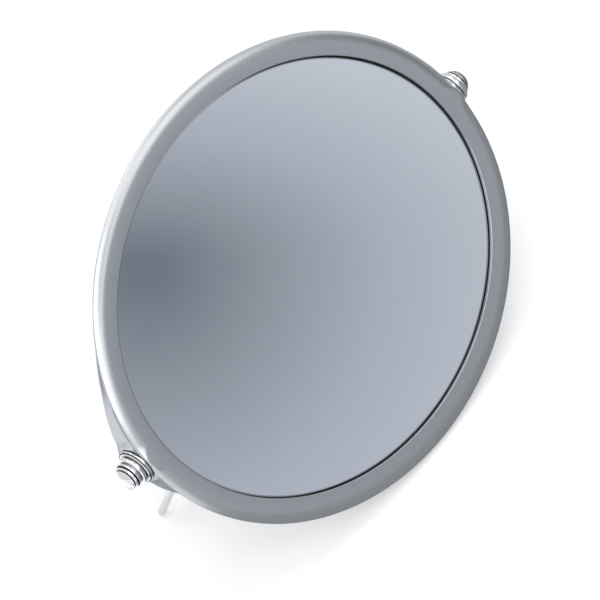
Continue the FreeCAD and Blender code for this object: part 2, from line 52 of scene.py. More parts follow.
def flatFrame(turn):
    return Matrix.Translation(pivot) @ Matrix.Rotation(math.radians(turn), 4, "X") @ Matrix.Scale(mm, 4)


opening = {"halfLong": 96.0, "halfWide": 80.0, "around": 480}
headFrame = flatFrame(90 - pose["lean"])
standFrame = flatFrame(90 - pose["lean"] + pose["standOpen"])


# finishes

class Signal:
    def __init__(self, finish, socket):
        self.finish = finish
        self.socket = socket

    def maths(self, operation, first, second):
        return self.finish.node("ShaderNodeMath", {"operation": operation}, {0: first, 1: second})

    def __add__(self, other):
        return self.maths("ADD", self, other)

    def __sub__(self, other):
        return self.maths("SUBTRACT", self, other)

    def __rsub__(self, other):
        return self.maths("SUBTRACT", other, self)

    def __mul__(self, other):
        return self.maths("MULTIPLY", self, other)

    __radd__ = __add__
    __rmul__ = __mul__


class Finish:
    def __init__(self, name, shader="ShaderNodeBsdfPrincipled"):
        self.material = bpy.data.materials.new(name)
        self.material.use_nodes = True
        self.tree = self.material.node_tree
        self.tree.nodes.clear()
        self.shader = self.tree.nodes.new(shader)
        self.output = self.tree.nodes.new("ShaderNodeOutputMaterial")
        self.tree.links.new(self.shader.outputs[0], self.output.inputs["Surface"])

    def feed(self, node, inputs):
        for key, value in inputs.items():
            if isinstance(value, Signal):
                self.tree.links.new(value.socket, node.inputs[key])
            else:
                node.inputs[key].default_value = value

    def node(self, kind, settings=None, inputs=None, out=0):
        made = self.tree.nodes.new(kind)
        for key, value in (settings or {}).items():
            if key == "stops":
                ramp = made.color_ramp
                while len(ramp.elements) < len(value):
                    ramp.elements.new(0.5)
                for element, (place, colour) in zip(ramp.elements, value):
                    element.position = place
                    element.color = colour
            else:
                setattr(made, key, value)
        self.feed(made, inputs or {})
        return Signal(self, made.outputs[out])

    def surface(self, **inputs):
        self.feed(self.shader, {key.replace("_", " "): value for key, value in inputs.items()})

    def place(self):
        return self.node("ShaderNodeTexCoord", out="Object")

    def noise(self, scale, detail=3.0, roughness=0.55, at=None):
        return self.node("ShaderNodeTexNoise", {}, {"Vector": at or self.place(), "Scale": scale,
                                                    "Detail": detail, "Roughness": roughness})

    def cells(self, scale, out):
        return self.node("ShaderNodeTexVoronoi", {}, {"Vector": self.place(), "Scale": scale}, out)

    def ramp(self, fac, *stops):
        return self.node("ShaderNodeValToRGB", {"stops": stops}, {"Fac": fac})

    def mask(self, fac, *levels):
        return self.ramp(fac, *[(place, (level, level, level, 1)) for place, level in levels])

    def root(self, value):
        return self.node("ShaderNodeMath", {"operation": "SQRT"}, {0: value})

    def parts(self, vector):
        # the x, y and z of a vector
        outputs = self.node("ShaderNodeSeparateXYZ", {}, {0: vector}).socket.node.outputs
        return [Signal(self, outputs[axis]) for axis in "XYZ"]

    def tint(self, fac, first, second):
        return self.node("ShaderNodeMix", {"data_type": "RGBA"}, {0: fac, 6: first, 7: second}, out=2)

    def bump(self, height, strength, distance):
        return self.node("ShaderNodeBump", {}, {"Height": height, "Strength": strength, "Distance": distance})

    def rim(self):
        # height over the seam and oval reach of a point, both from the head's own flat frame
        flat = self.node("ShaderNodeMapping", {"vector_type": "TEXTURE"},
                         {"Vector": self.place(), "Location": pivot,
                          "Rotation": (math.radians(90 - pose["lean"]), 0, 0), "Scale": (mm, mm, mm)})
        x, y, z = self.parts(flat)
        along = x * (1 / opening["halfLong"])
        across = y * (1 / opening["halfWide"])
        return z, self.root(along * along + across * across)

    def stretched(self, scale):
        return self.node("ShaderNodeMapping", {}, {"Vector": self.place(), "Scale": scale})


satin = {"dark": (0.475, 0.492, 0.512, 1), "pale": (0.52, 0.537, 0.557, 1), "worn": (0.42, 0.43, 0.445, 1),
         "edgeTint": (0.30, 0.32, 0.35, 1), "wallShade": (0.17, 0.18, 0.195, 1),
         "wallShadeLine": (0.36, 0.38, 0.41, 1)}


def satinSilver():
    # silver-grey lacquer over moulded plastic: metal flake, a trace of orange peel
    finish = Finish("satinSilver")
    flake = finish.noise(2600.0, 2.0)
    cloud = finish.noise(14.0, 3.0)
    peel = finish.noise(700.0, 2.0)
    colour = finish.tint(finish.mask(flake, (0.35, 0), (0.65, 1)), satin["dark"], satin["pale"])
    worn = finish.tint(cloud * 0.25, colour, satin["worn"])
    # the wall of the recess is painted with shade, with a paler painted line halfway down
    # its ramps take half the oval reach, and heights in cm over the seam
    high, reach = finish.rim()
    high = high * 0.1
    within = finish.mask(reach * 0.5, (0.0, 1), (0.5012, 1), (0.5018, 0))
    wall = within * finish.mask(high, (0.0, 0), (0.1, 1), (0.935, 1), (0.943, 0))
    # painted shade down the recess wall, with a lighter painted line between two dark bands
    wallShading = finish.ramp(high, (0.0, satin["wallShade"]), (0.80, satin["wallShade"]), (0.81, satin["wallShadeLine"]),
                       (0.885, satin["wallShadeLine"]), (0.90, satin["wallShade"]))
    finish.surface(Base_Color=finish.tint(wall, worn, wallShading), Metallic=0.9,
                   Roughness=0.235 + flake * 0.03 + cloud * 0.04, Specular_Tint=satin["edgeTint"],
                   Normal=finish.bump(peel, 0.06, 0.0002))
    return finish.material


silvering = {"clear": (0.87, 0.90, 0.93, 1), "hazy": (0.84, 0.875, 0.91, 1), "edge": (0.33, 0.345, 0.36, 1),
             "edgeFrom": 0.987, "edgeFull": 0.989}


def silveredGlass():
    # float glass silvered behind: cool tint, the faint haze of a wiped surface, a ring of painted shade at
    # its edge
    finish = Finish("silveredGlass")
    haze = finish.noise(26.0, 5.0, 0.6, finish.stretched((1.0, 0.45, 1.0)))
    dust = finish.noise(1500.0, 1.0)
    smear = finish.mask(haze, (0.45, 0), (0.8, 1))
    speck = finish.mask(dust, (0.74, 0), (0.82, 1))
    clean = finish.tint(smear * 0.5, silvering["clear"], silvering["hazy"])
    # painted shade: the outer ring of the glass, beside the recess wall, is darkened
    edge = finish.mask(finish.rim()[1], (0.0, 0), (silvering["edgeFrom"], 0), (silvering["edgeFull"], 1))
    finish.surface(Base_Color=finish.tint(edge, clean, silvering["edge"]), Metallic=1.0,
                   Roughness=0.012 + smear * 0.02 + speck * 0.03)
    return finish.material


chrome = {"bright": (0.68, 0.69, 0.70, 1), "dull": (0.60, 0.61, 0.62, 1), "grooveShade": (0.012, 0.012, 0.014, 1)}
# bands of painted shade and painted dark reflection on the turned pieces, by distance from the middle in mm
grooves = {"from": 105.0, "span": 12.0, "soft": 0.004,
           "dark": [(105.6, 106.3), (107.25, 107.5), (112.1, 112.75), (113.55, 114.0)]}


def polishedChrome():
    # bright plate over brass or wire: mirror polish with fine buffing lines
    finish = Finish("polishedChrome")
    buff = finish.noise(900.0, 4.0, 0.6, finish.stretched((0.06, 1.0, 1.0)))
    bloom = finish.noise(160.0, 3.0)
    finish.surface(Base_Color=finish.tint(bloom * 0.6, chrome["bright"], chrome["dull"]),
                   Metallic=1.0, Roughness=0.05 + buff * 0.05,
                   Normal=finish.bump(buff, 0.03, 0.0001))
    return finish.material


def turnedChrome():
    # the same plate on the turned pieces, with painted shade and painted dark reflections in the grooves
    # between their beads
    finish = Finish("turnedChrome")
    bloom = finish.noise(160.0, 3.0)
    bright = finish.tint(bloom * 0.6, chrome["bright"], chrome["dull"])
    side = finish.parts(finish.place())[0]
    reach = finish.node("ShaderNodeMath", {"operation": "ABSOLUTE"}, {0: side})
    along = (reach * (1 / mm) - grooves["from"]) * (1 / grooves["span"])
    levels = []
    for low, high in grooves["dark"]:
        first = (low - grooves["from"]) / grooves["span"]
        last = (high - grooves["from"]) / grooves["span"]
        levels += [(first - grooves["soft"], 0), (first, 1), (last, 1), (last + grooves["soft"], 0)]
    # painted shade: near black where shadow and dark reflections fall in the grooves
    grooveShade = finish.mask(along, *levels)
    finish.surface(Base_Color=finish.tint(grooveShade, bright, chrome["grooveShade"]), Metallic=1.0, Roughness=0.07)
    return finish.material


def brightZinc():
    finish = Finish("brightZinc")
    spangle = finish.cells(1100.0, "Color")
    grain = finish.noise(2200.0, 3.0)
    finish.surface(Base_Color=finish.tint(grain, (0.56, 0.57, 0.60, 1), (0.70, 0.70, 0.70, 1)), Metallic=1.0,
                   Roughness=finish.node("ShaderNodeRGBToBW", {}, {0: spangle}) * 0.16 + 0.24,
                   Normal=finish.bump(grain, 0.08, 0.0001))
    return finish.material


def greyRubber():
    finish = Finish("greyRubber")
    grain = finish.noise(1700.0, 4.0)
    bloom = finish.noise(110.0, 4.0)
    finish.surface(Base_Color=finish.tint(bloom * 0.8, (0.030, 0.030, 0.033, 1), (0.075, 0.075, 0.078, 1)),
                   Roughness=0.62 + bloom * 0.22, Normal=finish.bump(grain, 0.25, 0.0002))
    return finish.material


def blackFoam():
    finish = Finish("blackFoam")
    cells = finish.cells(2600.0, "Distance")
    finish.surface(Base_Color=finish.tint(cells, (0.012, 0.012, 0.012, 1), (0.045, 0.045, 0.046, 1)),
                   Roughness=0.9 - cells * 0.1, Normal=finish.bump(cells, 0.5, 0.0002))
    return finish.material


def backingBoard():
    finish = Finish("backingBoard")
    fibre = finish.noise(420.0, 6.0, 0.7, finish.stretched((1.0, 0.25, 1.0)))
    finish.surface(Base_Color=finish.tint(fibre, (0.22, 0.22, 0.23, 1), (0.38, 0.38, 0.39, 1)),
                   Roughness=0.7 + fibre * 0.2, Normal=finish.bump(fibre, 0.3, 0.0002))
    return finish.material


def whiteNylon():
    finish = Finish("whiteNylon")
    mottle = finish.noise(800.0, 4.0)
    finish.surface(Base_Color=finish.tint(mottle, (0.78, 0.78, 0.75, 1), (0.88, 0.88, 0.86, 1)),
                   Roughness=0.36 + mottle * 0.12, Normal=finish.bump(mottle, 0.1, 0.0001))
    return finish.material


finishes = {
    "frame_plastic": satinSilver(), "silvered_glass": silveredGlass(), "chrome_plate": polishedChrome(),
    "plain_steel": brightZinc(), "grey_rubber": greyRubber(), "black_foam": blackFoam(),
    "backing_board": backingBoard(), "white_nylon": whiteNylon(), "turned": turnedChrome(),
}
print("finishes made", len(finishes))


# shapes
sharpFrom = 32  # degrees between faces from which an edge is shaded sharp


def roundCorners(points, radii, steps=5):
    # points of an outline with the corners named in radii turned into arcs
    made = []
    count = len(points)
    for i, point in enumerate(points):
        here = Vector(point)
        if i not in radii:
            made.append(here)
            continue
        back = (Vector(points[i - 1]) - here).normalized()
        ahead = (Vector(points[(i + 1) % count]) - here).normalized()
        half = back.angle(ahead) / 2
        reach = radii[i] / math.tan(half)
        centre = here + (back + ahead).normalized() * (radii[i] / math.sin(half))
        first = here + back * reach - centre
        last = here + ahead * reach - centre
        sweep = first.angle(last)
        for k in range(steps + 1):
            share = k / steps
            part = (first * math.sin((1 - share) * sweep) + last * math.sin(share * sweep)) / math.sin(sweep)
            made.append(centre + part)
    return made


def turns(count):
    return [2 * math.pi * k / count for k in range(count)]


def skin(rings, loop=False, shape=None):
    # closed mesh over rings of points, added to the shape if there is one; loop joins last ring to first
    shape = bmesh.new() if shape is None else shape
    rows = [[shape.verts.new(p) for p in ring] for ring in rings]
    following = rows[1:] + rows[:1] if loop else rows[1:]
    for low, high in zip(rows, following):
        for i in range(len(low)):
            j = (i + 1) % len(low)
            shape.faces.new((low[i], low[j], high[j], high[i]))
    if not loop:
        shape.faces.new(rows[0][::-1])
        shape.faces.new(rows[-1])
    return shape


def settle(shape, place=None, merge=1e-5):
    # bmesh to mesh: points closer than merge, in the shape's own unit, are joined and faces turned outward
    bmesh.ops.remove_doubles(shape, verts=shape.verts, dist=merge)
    bmesh.ops.recalc_face_normals(shape, faces=shape.faces)
    mesh = bpy.data.meshes.new("draft")
    shape.to_mesh(mesh)
    shape.free()
    if place:
        mesh.transform(place)
    return mesh


def piece(name, mesh, body, slotName, replaced, finish=None):
    mesh.name = name
    mesh.shade_smooth()
    mesh.set_sharp_from_angle(angle=math.radians(sharpFrom))
    mesh.materials.clear()
    mesh.materials.append(finishes[finish or slotName])
    made = bpy.data.objects.new(name, mesh)
    bpy.context.scene.collection.objects.link(made)
    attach(made, body)
    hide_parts(*replaced)
    print(name, len(mesh.polygons), "faces")


def turned(profile, around=96):
    # solid of revolution about the x axis from (x, radius) points
    rings = []
    for turn in turns(around):
        rings.append([Vector((x, r * math.cos(turn), r * math.sin(turn))) for x, r in profile])
    return skin(rings, loop=True)


def block(size, middle):
    shape = bmesh.new()
    bmesh.ops.create_cube(shape, size=1.0)
    for v in shape.verts:
        v.co = Vector([place + share * long for place, share, long in zip(middle, v.co, size)])
    return settle(shape)


def applied(mesh, *cutters):
    # boolean steps: (operation, cutter mesh)
    made = bpy.data.objects.new("work", mesh)
    bpy.context.scene.collection.objects.link(made)
    helpers = []
    for operation, tool in cutters:
        helper = bpy.data.objects.new("cutter", tool)
        bpy.context.scene.collection.objects.link(helper)
        helpers.append(helper)
        step = made.modifiers.new(operation, "BOOLEAN")
        step.operation = operation
        step.object = helper
        step.solver = "EXACT"
    bpy.context.view_layer.update()
    result = bpy.data.meshes.new_from_object(made.evaluated_get(bpy.context.evaluated_depsgraph_get()))
    for spare in helpers + [made]:
        bpy.data.objects.remove(spare)
    return result


# bezel: one section carried round the oval opening
lug = {"from": 0.7, "along": 105.6, "across": 62.0, "high": 5.0, "deep": -5.6, "fadeHigh": 7.4,
       "fadeDeep": -8.4, "soft": 1.2, "ease": 0.1, "face": 106.0, "flat": 8.6, "fade": 11.5}
bezel = {
    "high": 9.5, "band": 5.5, "fall": 0.2, "widest": 10.3, "drop": 1.8, "shoulder": 9.0,
    "seamEdge": 5.8, "groove": 0.6, "wall": 2.4, "ledgeIn": 13.0, "ledgeLow": 3.1, "ledgeTop": 4.9,
    "lipRound": 0.3, "bandRound": 1.1, "lowRound": 0.5, "seamRound": 0.3,
}


def smooth(share):
    share = min(1.0, max(0.0, share))
    return share * share * (3 - 2 * share)


def swell(point):
    # the frame swells into a long lug at each pivot, and into a round seat behind the flange
    if abs(point.x) < opening["halfLong"] * lug["from"]:
        return point
    reach = abs(point.x)
    inside = max(0.0, 1 - (point.y / lug["across"]) ** 2)
    short = lug["along"] * math.sqrt(inside) - reach
    level = smooth((lug["fadeHigh"] - point.z) / (lug["fadeHigh"] - lug["high"]))
    level *= smooth((point.z - lug["fadeDeep"]) / (lug["deep"] - lug["fadeDeep"]))
    reach += level * max(0.0, (short + math.hypot(short, lug["soft"])) / 2 - lug["soft"] * lug["ease"])
    seat = smooth((lug["fade"] - math.hypot(point.y, point.z)) / (lug["fade"] - lug["flat"]))
    reach += (lug["face"] - reach) * seat
    return Vector((math.copysign(reach, point.x), point.y, point.z))


def bezelSection():
    b = bezel
    low = Vector((b["widest"], b["high"] - b["drop"]))
    top = Vector((b["band"], b["high"] - b["fall"]))
    half = (low - top) / 2
    inward = Vector((half.y, -half.x)).normalized()
    inward = inward if inward.y < 0 else -inward
    centre = top + half + inward * math.sqrt(b["shoulder"] ** 2 - half.length ** 2)
    arc = []
    for k in range(1, 10):  # the last quarter of the shoulder runs straight to its low edge
        spoke = top.lerp(low, k / 12) - centre
        arc.append(tuple(centre + spoke.normalized() * b["shoulder"]))
    side = [tuple(low.lerp(Vector((b["seamEdge"], b["groove"])), k / 9)) for k in range(2, 9)]
    outer = [(0.0, b["high"]), tuple(top)] + arc + [tuple(low)] + side
    outer += [(b["seamEdge"], b["groove"]), (b["seamEdge"] - b["groove"], 0.0)]
    inner = [(b["seamEdge"] - b["wall"], 0.0), (b["seamEdge"] - b["wall"], b["ledgeLow"]),
             (-b["ledgeIn"], b["ledgeLow"]), (-b["ledgeIn"], b["ledgeTop"]), (0.0, b["ledgeTop"])]
    radii = {0: b["lipRound"], 1: b["bandRound"], 2 + len(arc): b["lowRound"], len(outer) - 2: b["seamRound"]}
    return roundCorners(outer + inner, radii, 6)


section = bezelSection()
outerFrom = bezel["seamEdge"] - bezel["groove"] - 0.01  # only the outside of the section swells
rings = []
for turn in turns(opening["around"]):
    edge = Vector((opening["halfLong"] * math.cos(turn), opening["halfWide"] * math.sin(turn), 0))
    outward = Vector((edge.x / opening["halfLong"] ** 2, edge.y / opening["halfWide"] ** 2, 0)).normalized()
    ring = []
    for u, z in section:
        point = edge + outward * u + Vector((0, 0, z))
        ring.append(swell(point) if u > outerFrom else point)
    rings.append(ring)
piece("bezelFront", settle(skin(rings, loop=True), headFrame), "head", "frame_plastic", ["bezel_front"])


# rear shell: lofted ovals, screw sinks and the slot for the pad
# a station is z, growth along the pivots, growth across them
shell = {
    "outside": [(0.0, 5.1, 5.1), (-0.5, 5.6, 4.9), (-1.7, 5.75, 2.5), (-3.4, 5.8, -1.0), (-5.0, 5.65, -3.2),
                (-6.4, 5.4, -5.0), (-7.3, 4.9, -6.3), (-7.8, 4.3, -7.1), (-8.0, 3.4, -8.0)],
    "inside": [(0.0, 3.0, 3.0), (2.0, 3.0, 3.0), (2.0, 1.4, 1.4), (0.0, 1.4, 1.4), (-2.5, 2.2, -3.9),
               (-4.8, 1.9, -8.2), (-6.0, 1.0, -10.7)],
    "backRing": 0.4, "screws": 6, "screwFirst": 30, "screwLong": 84.0, "screwWide": 68.0, "sinkWide": 5.8,
    "sinkDeep": 2.6, "sinkFlare": 2.6, "flareDeep": 0.3, "sinkHair": 0.01, "postWide": 6.4, "postFrom": 1.0,
    "postTop": -0.1, "boreWide": 3.4, "boreTop": 1.0, "past": 1.0, "rodSides": 40,
    "slotLong": 24.2, "slotTop": -1.4, "slotLow": -4.6, "slotEnd": -78.9, "slotReach": 16.0, "merge": 0.004,
}


def between(stations, fine=4):
    # smooth stations between the given ones
    made = []
    for i in range(len(stations) - 1):
        quad = [Vector(stations[max(0, min(len(stations) - 1, i + d))]) for d in (-1, 0, 1, 2)]
        for k in range(fine):
            t = k / fine
            made.append(0.5 * (2 * quad[1] + (quad[2] - quad[0]) * t
                               + (2 * quad[0] - 5 * quad[1] + 4 * quad[2] - quad[3]) * t * t
                               + (3 * quad[1] - quad[0] - 3 * quad[2] + quad[3]) * t ** 3))
    return made + [Vector(stations[-1])]


def ovalRing(z, along, across):
    halfLong = opening["halfLong"] + along
    halfWide = opening["halfWide"] + across
    return [Vector((halfLong * math.cos(turn), halfWide * math.sin(turn), z))
            for turn in turns(opening["around"])]


def rods(wide, low, high, extra=()):
    # one round cutter at each screw, with optional (z, width) steps between its ends
    joined = bmesh.new()
    steps = [(low, wide)] + list(extra) + [(high, wide)]
    for k in range(shell["screws"]):
        turn = math.radians(shell["screwFirst"] + 360 / shell["screws"] * k)
        x = shell["screwLong"] * math.cos(turn)
        y = shell["screwWide"] * math.sin(turn)
        rows = []
        for z, across in steps:
            rows.append([(x + across / 2 * math.cos(a), y + across / 2 * math.sin(a), z)
                         for a in turns(shell["rodSides"])])
        skin(rows, shape=joined)
    return settle(joined)


def slotCutter():
    s = shell
    size = (s["slotLong"], s["slotReach"], s["slotTop"] - s["slotLow"])
    return block(size, (0, s["slotEnd"] - s["slotReach"] / 2, (s["slotTop"] + s["slotLow"]) / 2))


def rearShell():
    s = shell
    low, along, across = s["outside"][-1]
    sinkEnd = low + s["sinkDeep"]
    outside = [[swell(p) for p in ovalRing(*station)] for station in between(s["outside"])]
    # one more ring on the back keeps its shading flat
    outside.append(ovalRing(low, along - s["backRing"], across - s["backRing"]))
    inside = [ovalRing(*station) for station in s["inside"]]
    made = applied(
        settle(skin(outside[::-1] + inside)),
        ("UNION", rods(s["postWide"], low + s["postFrom"], s["postTop"])),
        ("DIFFERENCE", rods(s["boreWide"], low - s["past"], s["boreTop"])),
        ("DIFFERENCE", rods(s["sinkWide"] + s["sinkFlare"], low - s["past"], sinkEnd,
                            [(low + s["flareDeep"], s["sinkWide"]),
                             (sinkEnd - s["sinkHair"], s["sinkWide"])])),
        ("DIFFERENCE", slotCutter()))
    shape = bmesh.new()
    shape.from_mesh(made)
    bmesh.ops.holes_fill(shape, edges=shape.edges, sides=4)
    return settle(shape, headFrame, s["merge"])


piece("shellRear", rearShell(), "head", "frame_plastic", ["shell_rear"])


# glass: its ground edge is given by heights over the back or depths under the face, each with an inset
glass = {"top": 7.7, "low": 5.5, "play": 0.3,
         "behind": [(0.0, 0.3), (0.3, 0.0)],
         "front": [(0.35, 0.0), (0.1, 0.15), (0.0, 0.5), (0.0, 0.56), (0.0, 3.0)]}


def glassRings():
    g = glass
    stations = [(g["low"] + rise, -g["play"] - inset) for rise, inset in g["behind"]]
    stations += [(g["top"] - depth, -g["play"] - inset) for depth, inset in g["front"]]
    return [ovalRing(z, grow, grow) for z, grow in stations]


piece("mirrorGlass", settle(skin(glassRings()), headFrame), "head", "silvered_glass", ["mirror_glass"])


# turned pivot pieces
flange = {"inner": 106.0, "outer": 108.0, "wide": 16.4, "bore": 4.08, "step": 0.7, "stepIn": 0.5,
          "faceIn": 1.0, "rounds": {1: 0.25, 2: 0.3, 3: 0.12, 4: 0.25}}
knob = {"inner": 110.95, "rim": 1.2, "groove": 0.5, "grooveDeep": 0.6, "wide": 11.8, "step": 0.4, "high": 5.4,
        "bore": 4.08, "boreDeep": 3.2, "lineAt": 2.83, "lineWide": 0.25, "lineDeep": 0.45, "domeSteps": 60,
        "rounds": {3: 0.35, 4: 0.3, 7: 0.25}}


def flangeProfile():
    f = flange
    r = f["wide"] / 2
    step = f["outer"] - f["step"]
    points = [(f["inner"], f["bore"] / 2), (f["inner"], r), (step, r), (step, r - f["stepIn"]),
              (f["outer"], r - f["faceIn"]), (f["outer"], f["bore"] / 2)]
    return roundCorners(points, f["rounds"])


def knobProfile():
    k = knob
    rim = k["wide"] / 2
    dome = rim - k["step"]
    foot = k["inner"]
    domeStart = foot + k["rim"] + k["groove"]
    domeHigh = k["high"] - k["rim"] - k["groove"]
    ball = (dome * dome + domeHigh * domeHigh) / (2 * domeHigh)
    start = math.asin(min(1.0, dome / ball))
    cap = []
    for i in range(1, k["domeSteps"]):
        turn = start * (1 - i / k["domeSteps"])
        x = domeStart + domeHigh - ball + ball * math.cos(turn)
        cut = k["lineDeep"] * math.exp(-((x - foot - k["lineAt"]) / k["lineWide"]) ** 4)
        cap.append((x, ball * math.sin(turn) - cut))
    neck = dome - k["grooveDeep"]
    points = [(foot + k["boreDeep"], 0.0), (foot + k["boreDeep"], k["bore"] / 2), (foot, k["bore"] / 2),
              (foot, rim), (foot + k["rim"], rim), (foot + k["rim"], neck), (domeStart, neck),
              (domeStart, dome)]
    return roundCorners(points + cap + [(foot + k["high"], 0.0)], k["rounds"])


flip = Matrix.Scale(-1, 4, (1, 0, 0))
for side, place in (("Right", headFrame), ("Left", headFrame @ flip)):
    lower = side.lower()
    rosette = turned(flangeProfile())
    rosette.transform(place)
    piece("pivotFlange" + side, settle(rosette), "head", "chrome_plate", ["flange_" + lower], finish="turned")
    turnKnob = turned(knobProfile())
    turnKnob.transform(place)
    piece("pivotKnob" + side, settle(turnKnob), "knob_" + lower[0], "chrome_plate", ["knob_" + lower],
          finish="turned")


# wire stand: legs with a flattened eye on the pivot, and a bar welded across them
eye = {"inner": 108.45, "outer": 110.45, "wide": 14.4, "bore": 4.14, "around": 80,
       "rounds": {0: 0.15, 1: 0.7, 2: 0.7, 3: 0.15}}
wire = {
    "wide": 3.2, "start": 5.6, "middle": 110.2, "elbow": 15.0, "elbowRound": 9.0, "kneeX": 58.0,
    "kneeDrop": 44.0, "kneeRound": 12.0, "footX": 76.0, "footDrop": 89.963, "flatLong": 4.6,
    "flatThick": 0.62, "flatWide": 1.55, "around": 28, "tipSteps": 8,
}
bar = {"half": 72.18, "drop": 70.0, "sink": 3.05, "steps": 60}
weld = {"x": 68.18, "apart": 1.25, "long": 2.1, "wide": 0.85, "high": 0.8, "ripple": 0.10, "waves": 9}


def wirePath():
    w = wire
    corners = [(w["middle"], -w["start"]), (w["middle"], -w["elbow"]), (w["kneeX"], -w["kneeDrop"]),
               (w["footX"], -w["footDrop"])]
    bent = roundCorners(corners, {1: w["elbowRound"], 2: w["kneeRound"]}, 16)
    fine = []
    for a, b in zip(bent, bent[1:]):
        count = max(1, int((b - a).length))  # stations about 1 mm apart
        fine += [a.lerp(b, i / count) for i in range(count)]
    return fine + [bent[-1]]


def hoop(x, y, ahead, thick, broad):
    # oval ring of points across the wire's run
    across = Vector((-ahead.y, ahead.x))
    ring = []
    for a in turns(wire["around"]):
        ring.append(Vector((x + across.x * thick * math.cos(a), y + across.y * thick * math.cos(a),
                            broad * math.sin(a))))
    return ring


def wireLeg():
    w = wire
    path = wirePath()
    radius = w["wide"] / 2
    rings = []
    for i, point in enumerate(path):
        ahead = (path[min(i + 1, len(path) - 1)] - path[max(i - 1, 0)]).normalized()
        share = smooth((-point.y - w["start"]) / w["flatLong"])
        thick = radius * (w["flatThick"] + (1 - w["flatThick"]) * share)
        broad = radius * (w["flatWide"] + (1 - w["flatWide"]) * share)
        shift = ((eye["inner"] + eye["outer"]) / 2 - w["middle"]) * (1 - share)
        rings.append(hoop(point.x + shift, point.y, ahead, thick, broad))
    ahead = (path[-1] - path[-2]).normalized()
    for i in range(1, w["tipSteps"]):
        turn = math.pi / 2 * i / w["tipSteps"]
        centre = path[-1] + ahead * radius * math.sin(turn)
        rings.append(hoop(centre.x, centre.y, ahead, radius * math.cos(turn), radius * math.cos(turn)))
    return settle(skin(rings))


def wireEye():
    e = eye
    r = e["wide"] / 2
    points = [(e["inner"], e["bore"] / 2), (e["inner"], r), (e["outer"], r), (e["outer"], e["bore"] / 2)]
    return settle(turned(roundCorners(points, e["rounds"], 6), e["around"]))


def barRings():
    b = bar
    radius = wire["wide"] / 2
    tip = []
    for i in range(1, wire["tipSteps"] + 1):
        turn = math.pi / 2 * i / wire["tipSteps"]
        tip.append((-b["half"] - radius * math.cos(turn), radius * math.sin(turn)))
    middle = [(-b["half"] + 2 * b["half"] * i / b["steps"], radius) for i in range(1, b["steps"])]
    rings = []
    for x, r in tip + middle + [(-x, r) for x, r in tip][::-1]:
        rings.append([Vector((x, -b["drop"] + r * math.cos(a), -b["sink"] + r * math.sin(a)))
                      for a in turns(wire["around"])])
    return rings


def weldBead(shape, side):
    # a small wavy bead along each side of the crossing
    for edge in (-1, 1):
        made = bmesh.ops.create_icosphere(shape, subdivisions=3, radius=1.0)["verts"]
        for v in made:
            ripple = 1 + weld["ripple"] * math.sin(weld["waves"] * v.co.x + 2 * edge)
            v.co = Vector((side * weld["x"] + v.co.x * weld["long"],
                           -bar["drop"] + edge * weld["apart"] + v.co.y * weld["wide"] * ripple,
                           -bar["sink"] / 2 + v.co.z * weld["high"] * ripple))


legMesh = applied(wireLeg(), ("UNION", wireEye()))
for side, place in (("Right", standFrame), ("Left", standFrame @ flip)):
    legShape = bmesh.new()
    legShape.from_mesh(legMesh)
    legShape.transform(place)
    piece("wireLeg" + side, settle(legShape), "stand", "chrome_plate", ["leg_" + side.lower()])
barShape = skin(barRings())
for side in (1, -1):
    weldBead(barShape, side)
barShape.transform(standFrame)
piece("crossBar", settle(barShape), "stand", "chrome_plate", ["cross_bar"])


# rubber pad under the head: each end is insets with their draw, each rib is places with their cut
pad = {"half": 12.0, "inner": -79.0, "top": -1.5, "low": -4.5, "footTop": -87.732, "footLow": -86.269,
       "rib": 2.4, "plain": 0.8, "corner": 0.35, "end": [(0.0, 0.35), (0.12, 0.12), (0.4, 0.0)],
       "ribShape": [(0.75, 0.0), (0.95, 0.5), (1.45, 0.5), (1.65, 0.0)]}


def padRings():
    p = pad
    rings = []
    stops = [(-p["half"] + inset, draw, 0) for inset, draw in p["end"]]
    count = int((p["half"] - p["plain"]) * 2 / p["rib"])
    for i in range(count):
        x = -p["rib"] * count / 2 + p["rib"] * i
        stops += [(x + place, 0, cut) for place, cut in p["ribShape"]]
    stops += [(p["half"] - inset, draw, 0) for inset, draw in reversed(p["end"])]
    for x, draw, cut in stops:
        lift = draw + cut
        corners = [(p["inner"], p["top"] - draw), (p["inner"], p["low"] + draw),
                   (p["footLow"] + lift, p["low"] + draw), (p["footTop"] + lift, p["top"] - draw)]
        outline = roundCorners(corners, {2: p["corner"], 3: p["corner"]}, 4)
        rings.append([Vector((x, y, z)) for y, z in outline])
    return rings


piece("rimPad", settle(skin(padRings()), headFrame), "head", "grey_rubber", ["rim_pad"])


# screws and bumpers: one shape each, set out by geometry nodes
screw = {"headWide": 5.4, "headHigh": 2.0, "headRound": 0.7, "taper": 0.2, "shank": 3.0, "long": 8.4,
         "point": 1.2, "tip": 0.4, "seat": -5.4, "slotWide": 0.9, "slotDeep": 0.8, "slotLong": 3.4,
         "around": 48}
bumper = {"wide": 8.0, "high": 2.4, "foot": 0.5, "top": 0.72, "x": 86.0, "y": 27.0, "face": -8.0,
          "around": 56, "rounds": {2: 0.25, 3: 1.1}}
twistSetting = {"most": 3.1, "seed": 4}  # how far the copies turn at random, in radians


def screwShape():
    s = screw
    r = s["headWide"] / 2
    points = [(-s["headHigh"], 0.0), (-s["headHigh"], r - s["taper"]), (0.0, r), (0.0, s["shank"] / 2),
              (s["long"] - s["point"], s["shank"] / 2), (s["long"], s["tip"]), (s["long"], 0.0)]
    shape = turned(roundCorners(points, {1: s["headRound"]}, 6), s["around"])
    shape.transform(Matrix.Rotation(-math.pi / 2, 4, "Y"))
    slot = block((s["slotLong"], s["slotWide"], 2 * s["slotDeep"]), (0, 0, -s["headHigh"]))
    return applied(settle(shape), ("DIFFERENCE", slot))


def bumperShape():
    b = bumper
    r = b["wide"] / 2
    points = [(0.0, 0.0), (0.0, r), (b["foot"], r), (b["high"], r * b["top"]), (b["high"], 0.0)]
    shape = turned(roundCorners(points, b["rounds"], 6), b["around"])
    shape.transform(Matrix.Rotation(math.pi / 2, 4, "Y"))
    return settle(shape)


